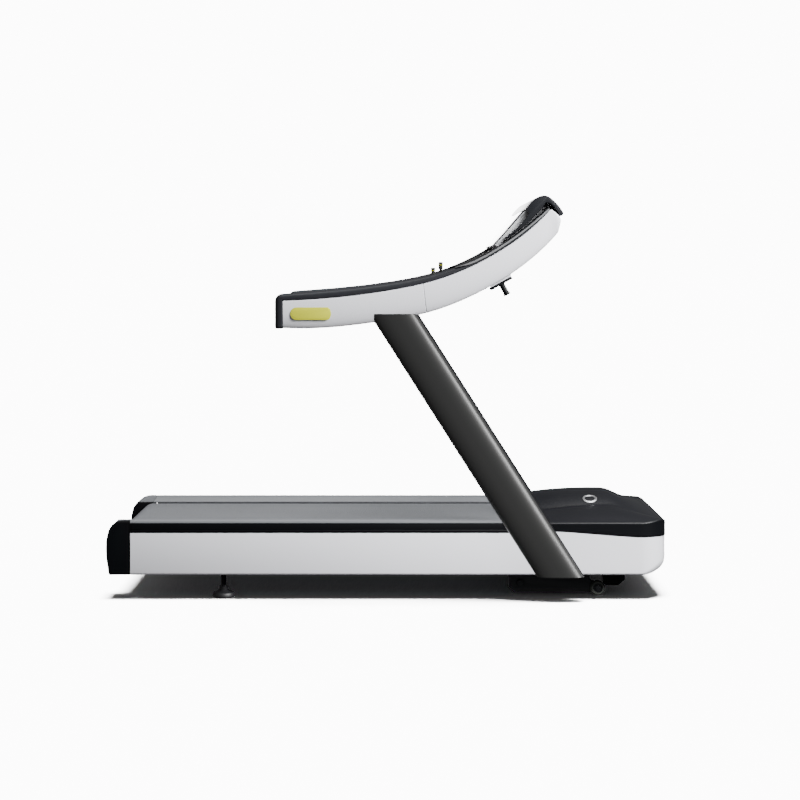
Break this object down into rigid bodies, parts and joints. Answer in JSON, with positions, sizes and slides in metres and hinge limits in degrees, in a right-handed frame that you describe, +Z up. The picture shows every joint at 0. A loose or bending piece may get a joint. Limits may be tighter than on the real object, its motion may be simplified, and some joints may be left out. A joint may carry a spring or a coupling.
{
  "type": "motorised treadmill",
  "caption": "Motorised gym treadmill: flat running belt between foot rails, motor hood, incline lift under the front, leaning uprights and long curved handrails rising to a console.",
  "frame": {"origin": "on the floor, under the middle of the overall box", "axes": "+X forward towards the console, +Y the user's left, +Z up"},
  "size_m": [2.24, 0.93, 1.6084],
  "materials": {
    "frame_paint": "satin powder coat",
    "lift_paint": "matt black powder coat",
    "deck_board": "waxed laminate",
    "cushion_rubber": "moulded rubber",
    "belt": "fine-ribbed running belt",
    "roller_steel": "turned steel",
    "cast_metal": "cast",
    "motor_case": "ribbed black",
    "drive_belt": "ribbed",
    "controller_metal": "extruded",
    "black_plastic": "fine texture",
    "white_panel": "satin lacquer",
    "foot_rail_grey": "ribbed anti-slip",
    "hood_plastic": "semi-gloss",
    "silver_badge": "satin",
    "upright_metal": "dark metallic",
    "arm_white": "satin lacquer",
    "grip_black": "soft-touch",
    "badge_green": "gloss",
    "cowl_black": "semi-gloss",
    "housing_grey": "satin",
    "beam_grey": "satin",
    "display_dark": "glass-like black",
    "cup_plastic": "satin",
    "wheel_rubber": "moulded",
    "leveller_black": "moulded",
    "knob_black": "satin",
    "stick_black": "soft-touch"
  },
  "bodies": {
    "base": {"accessory_hook": "black_plastic", "arm_badges": "badge_green", "arm_cores": "frame_paint", "bearing_blocks": "cast_metal", "console_back_shell": "arm_white", "console_cowl": "cowl_black", "console_deck": "black_plastic", "control_bar": "black_plastic", "cross_tubes": "frame_paint", "deck_cushions": "cushion_rubber", "display_beam": "beam_grey", "display_glass": "display_dark", "display_housing": "housing_grey", "drive_motor": "motor_case", "frame_rails": "frame_paint", "front_shell": "white_panel", "front_stops": "lift_paint", "hood_badges": "silver_badge", "left_arm_front_shell": "arm_white", "left_arm_grip": "grip_black", "left_arm_rear_shell": "arm_white", "left_bottle_holder": "cup_plastic", "left_foot_rail": "foot_rail_grey", "left_rear_cap": "black_plastic", "left_side_panel": "white_panel", "left_trim_strip": "black_plastic", "left_upright": "upright_metal", "lift_brackets": "lift_paint", "motor_controller": "controller_metal", "motor_hood": "hood_plastic", "motor_tray": "frame_paint", "poly_v_belt": "drive_belt", "power_inlet": "black_plastic", "right_arm_front_shell": "arm_white", "right_arm_grip": "grip_black", "right_arm_rear_shell": "arm_white", "right_bottle_holder": "cup_plastic", "right_foot_rail": "foot_rail_grey", "right_rear_cap": "black_plastic", "right_side_panel": "white_panel", "right_trim_strip": "black_plastic", "right_upright": "upright_metal", "running_belt": "belt", "running_deck": "deck_board", "tension_bolts": "roller_steel", "upright_brackets": "frame_paint"},
    "front_roller": {"front_roller": "roller_steel", "drive_pulley": "cast_metal"},
    "rear_roller": {"rear_roller": "roller_steel"},
    "motor_rotor": {"motor_rotor": "roller_steel"},
    "lift_arm": {"lift_arm": "lift_paint"},
    "left_lift_wheel": {"left_lift_wheel": "wheel_rubber"},
    "right_lift_wheel": {"right_lift_wheel": "wheel_rubber"},
    "lift_motor": {"lift_motor": "cast_metal"},
    "lift_screw": {"lift_screw": "roller_steel"},
    "left_leveller": {"left_leveller": "leveller_black"},
    "right_leveller": {"right_leveller": "leveller_black"},
    "stop_knob": {"stop_knob": "knob_black"},
    "left_joystick": {"left_joystick": "stick_black"},
    "right_joystick": {"right_joystick": "stick_black"}
  },
  "joints": [
    {"name": "front_roller_spin", "type": "hinge", "parent": "base", "child": "front_roller", "pos_m": [0.56, 0, 0.244], "axis": [0, 1, 0], "continuous": true},
    {"name": "rear_roller_spin", "type": "hinge", "parent": "base", "child": "rear_roller", "pos_m": [-1.019, 0, 0.244], "axis": [0, 1, 0], "continuous": true},
    {"name": "motor_spin", "type": "hinge", "parent": "base", "child": "motor_rotor", "pos_m": [0.83, 0, 0.262], "axis": [0, 1, 0], "continuous": true},
    {"name": "lift_pitch", "type": "hinge", "parent": "base", "child": "lift_arm", "pos_m": [0.538, 0, 0.048], "axis": [0, 1, 0], "range_deg": [0, 46]},
    {"name": "left_lift_wheel_spin", "type": "hinge", "parent": "lift_arm", "child": "left_lift_wheel", "pos_m": [0.85, 0.293, 0.03], "axis": [0, 1, 0], "continuous": true},
    {"name": "right_lift_wheel_spin", "type": "hinge", "parent": "lift_arm", "child": "right_lift_wheel", "pos_m": [0.85, -0.293, 0.03], "axis": [0, 1, 0], "continuous": true},
    {"name": "lift_motor_tilt", "type": "hinge", "parent": "base", "child": "lift_motor", "pos_m": [0.7, 0, 0.18], "axis": [0, 1, 0], "range_deg": [0, 21.41]},
    {"name": "lift_screw_travel", "type": "slide", "parent": "lift_motor", "child": "lift_screw", "axis": [0.356, 0, -0.9345], "range_m": [0, 0.1467]},
    {"name": "left_leveller_screw", "type": "slide", "parent": "base", "child": "left_leveller", "axis": [0, 0, -1], "range_m": [0, 0.02]},
    {"name": "right_leveller_screw", "type": "slide", "parent": "base", "child": "right_leveller", "axis": [0, 0, -1], "range_m": [0, 0.02]},
    {"name": "stop_knob_press", "type": "slide", "parent": "base", "child": "stop_knob", "axis": [0, 0, -1], "range_m": [0, 0.004], "stiffness_N_per_m": 800},
    {"name": "left_joystick_tilt", "type": "hinge", "parent": "base", "child": "left_joystick", "pos_m": [0.191, 0.09, 1.28], "axis": [0, 1, 0], "range_deg": [-15, 15], "stiffness_Nm_per_rad": 0.3},
    {"name": "right_joystick_tilt", "type": "hinge", "parent": "base", "child": "right_joystick", "pos_m": [0.191, -0.09, 1.28], "axis": [0, 1, 0], "range_deg": [-15, 15], "stiffness_Nm_per_rad": 0.3}
  ],
  "couplings": [
    {"joint": "rear_roller_spin", "follows": "front_roller_spin", "ratio": 1},
    {"joint": "motor_spin", "follows": "front_roller_spin", "ratio": 1.8333},
    {"joint": "lift_motor_tilt", "follows": "lift_pitch", "ratio": 0.46423},
    {"joint": "lift_screw_travel", "follows": "lift_pitch", "m_per_rad": 0.1821}
  ]
}
